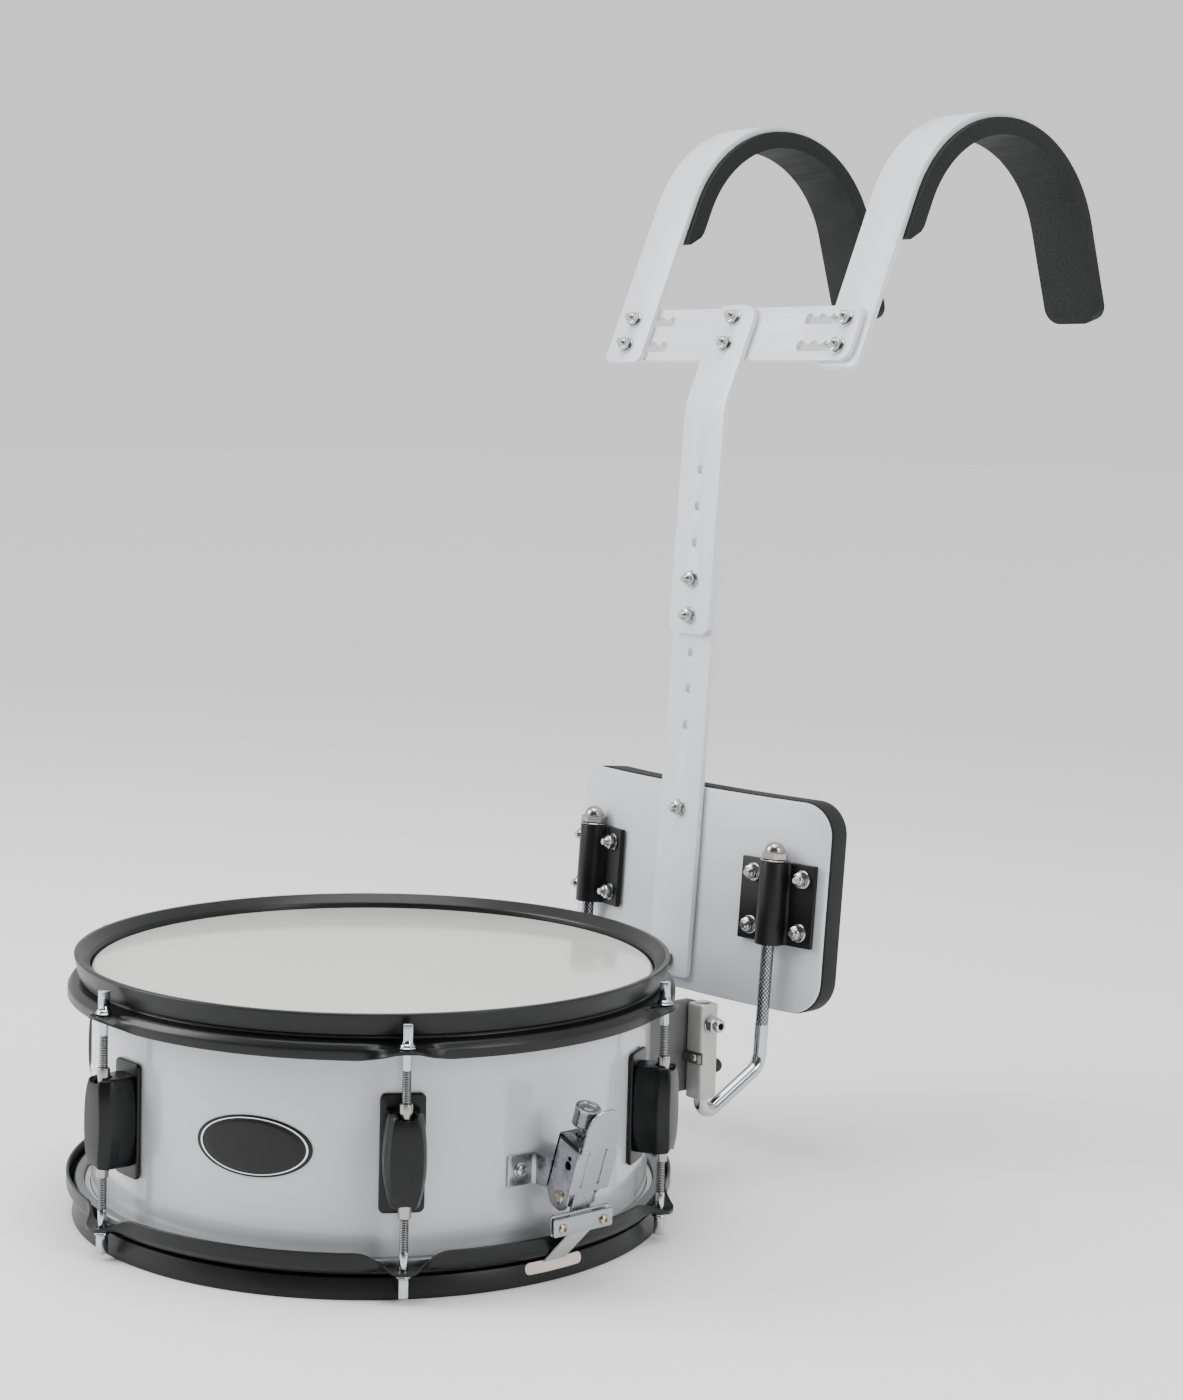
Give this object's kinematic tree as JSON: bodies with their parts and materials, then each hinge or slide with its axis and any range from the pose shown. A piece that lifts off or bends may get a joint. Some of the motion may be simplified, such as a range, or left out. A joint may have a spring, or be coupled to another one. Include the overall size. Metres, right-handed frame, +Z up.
{
  "type": "marching snare drum",
  "caption": "Marching snare drum with black rims and lugs, a snare throw-off and a white shoulder carrier with belly plate, hook rods and foam pads.",
  "frame": {"origin": "on the floor under the middle of the whole object", "axes": "+Z up; +Y from the drum towards the player; +X towards the side with the snare strainer"},
  "size_m": [0.4444, 0.754, 0.727],
  "materials": {
    "shell_white": "gloss",
    "head_film": "matte",
    "hoop_black": "gloss",
    "flesh_hoop_metal": "satin",
    "lug_black": "satin",
    "badge_black": "gloss",
    "chrome": "polished",
    "strainer_steel": "polished",
    "snare_strap": "matte",
    "white_powder": "satin",
    "carrier_black": "satin",
    "receiver_grey": "satin",
    "foam_black": "matte"
  },
  "bodies": {
    "carrier": {"belly_plate": "white_powder", "belly_pad": "foam_black", "lower_bar": "white_powder", "upper_bar": "white_powder", "cross_bar": "white_powder", "rod_clamp_right": "carrier_black", "rod_clamp_left": "carrier_black"},
    "hooks": {"hook_rod_right": "chrome", "hook_rod_left": "chrome", "cap_nut_right": "chrome", "cap_nut_left": "chrome"},
    "drum": {"shell": "shell_white", "vent_grommet": "chrome", "badge": "badge_black", "batter_head": "head_film", "snare_head": "head_film", "batter_flesh_hoop": "flesh_hoop_metal", "snare_flesh_hoop": "flesh_hoop_metal", "batter_hoop": "hoop_black", "snare_hoop": "hoop_black", "lug_1": "lug_black", "lug_2": "lug_black", "lug_3": "lug_black", "lug_4": "lug_black", "lug_5": "lug_black", "lug_6": "lug_black", "strainer_base": "strainer_steel", "butt_plate": "strainer_steel", "butt_clamp": "strainer_steel", "snare_wires": "strainer_steel", "snare_strap_front": "snare_strap", "snare_strap_rear": "snare_strap", "receiver_bracket_right": "receiver_grey", "receiver_block_right": "receiver_grey", "receiver_bracket_left": "receiver_grey", "receiver_block_left": "receiver_grey"},
    "strainer_lever": {"strainer_lever": "strainer_steel"},
    "strainer_carriage": {"strainer_carriage": "strainer_steel"},
    "strainer_knob": {"strainer_knob": "strainer_steel"},
    "snare_clamp": {"strainer_clamp_carrier": "strainer_steel", "strainer_clamp": "strainer_steel"},
    "shoulder_left": {"shoulder_bar_left": "white_powder", "shoulder_pad_left": "foam_black"},
    "shoulder_right": {"shoulder_bar_right": "white_powder", "shoulder_pad_right": "foam_black"},
    "rod_top_1": {"tension_rod_top_1": "chrome"},
    "rod_bottom_1": {"tension_rod_bottom_1": "chrome"},
    "rod_top_2": {"tension_rod_top_2": "chrome"},
    "rod_bottom_2": {"tension_rod_bottom_2": "chrome"},
    "rod_top_3": {"tension_rod_top_3": "chrome"},
    "rod_bottom_3": {"tension_rod_bottom_3": "chrome"},
    "rod_top_4": {"tension_rod_top_4": "chrome"},
    "rod_bottom_4": {"tension_rod_bottom_4": "chrome"},
    "rod_top_5": {"tension_rod_top_5": "chrome"},
    "rod_bottom_5": {"tension_rod_bottom_5": "chrome"},
    "rod_top_6": {"tension_rod_top_6": "chrome"},
    "rod_bottom_6": {"tension_rod_bottom_6": "chrome"}
  },
  "joints": [
    {"name": "hook_height", "type": "slide", "parent": "carrier", "child": "hooks", "axis": [0, 0.0643, 0.9979], "range_m": [0, 0.06]},
    {"name": "drum_lift", "type": "slide", "parent": "hooks", "child": "drum", "axis": [0, 0, 1], "range_m": [0, 0.042]},
    {"name": "strainer_throw", "type": "hinge", "parent": "drum", "child": "strainer_lever", "pos_m": [0.19247, -0.17419, 0.0548], "axis": [0, 1, 0], "range_deg": [0, 85]},
    {"name": "strainer_drop", "type": "slide", "parent": "drum", "child": "strainer_carriage", "axis": [-0.309, 0, -0.9511], "range_m": [0, 0.0062], "deforming": ["snare_strap_front"]},
    {"name": "tension_knob_turn", "type": "hinge", "parent": "strainer_carriage", "child": "strainer_knob", "pos_m": [0.18676, -0.17419, 0.05665], "axis": [0.309, 0, 0.9511], "range_deg": [-900, 1080]},
    {"name": "snare_tension", "type": "slide", "parent": "strainer_carriage", "child": "snare_clamp", "axis": [0.309, 0, 0.9511], "range_m": [-0.0024, 0.002]},
    {"name": "shoulder_left_slide", "type": "slide", "parent": "carrier", "child": "shoulder_left", "axis": [1, 0, 0], "range_m": [0, 0.033]},
    {"name": "shoulder_right_slide", "type": "slide", "parent": "carrier", "child": "shoulder_right", "axis": [-1, 0, 0], "range_m": [0, 0.033]},
    {"name": "rod_top_1_turn", "type": "hinge", "parent": "drum", "child": "rod_top_1", "pos_m": [-0.00933, -0.36889, 0.0828], "axis": [0, 0, 1], "continuous": true},
    {"name": "rod_bottom_1_turn", "type": "hinge", "parent": "drum", "child": "rod_bottom_1", "pos_m": [-0.00933, -0.36889, 0.0828], "axis": [0, 0, 1], "continuous": true},
    {"name": "rod_top_2_turn", "type": "hinge", "parent": "drum", "child": "rod_top_2", "pos_m": [0.15929, -0.27154, 0.0828], "axis": [0, 0, 1], "continuous": true},
    {"name": "rod_bottom_2_turn", "type": "hinge", "parent": "drum", "child": "rod_bottom_2", "pos_m": [0.15929, -0.27154, 0.0828], "axis": [0, 0, 1], "continuous": true},
    {"name": "rod_top_3_turn", "type": "hinge", "parent": "drum", "child": "rod_top_3", "pos_m": [0.15929, -0.07684, 0.0828], "axis": [0, 0, 1], "continuous": true},
    {"name": "rod_bottom_3_turn", "type": "hinge", "parent": "drum", "child": "rod_bottom_3", "pos_m": [0.15929, -0.07684, 0.0828], "axis": [0, 0, 1], "continuous": true},
    {"name": "rod_top_4_turn", "type": "hinge", "parent": "drum", "child": "rod_top_4", "pos_m": [-0.00933, 0.02051, 0.0828], "axis": [0, 0, 1], "continuous": true},
    {"name": "rod_bottom_4_turn", "type": "hinge", "parent": "drum", "child": "rod_bottom_4", "pos_m": [-0.00933, 0.02051, 0.0828], "axis": [0, 0, 1], "continuous": true},
    {"name": "rod_top_5_turn", "type": "hinge", "parent": "drum", "child": "rod_top_5", "pos_m": [-0.17794, -0.07684, 0.0828], "axis": [0, 0, 1], "continuous": true},
    {"name": "rod_bottom_5_turn", "type": "hinge", "parent": "drum", "child": "rod_bottom_5", "pos_m": [-0.17794, -0.07684, 0.0828], "axis": [0, 0, 1], "continuous": true},
    {"name": "rod_top_6_turn", "type": "hinge", "parent": "drum", "child": "rod_top_6", "pos_m": [-0.17794, -0.27154, 0.0828], "axis": [0, 0, 1], "continuous": true},
    {"name": "rod_bottom_6_turn", "type": "hinge", "parent": "drum", "child": "rod_bottom_6", "pos_m": [-0.17794, -0.27154, 0.0828], "axis": [0, 0, 1], "continuous": true}
  ],
  "couplings": [
    {"joint": "strainer_drop", "follows": "strainer_throw", "m_per_rad": 0.0041791},
    {"joint": "tension_knob_turn", "follows": "snare_tension", "rad_per_m": -7853.9}
  ]
}
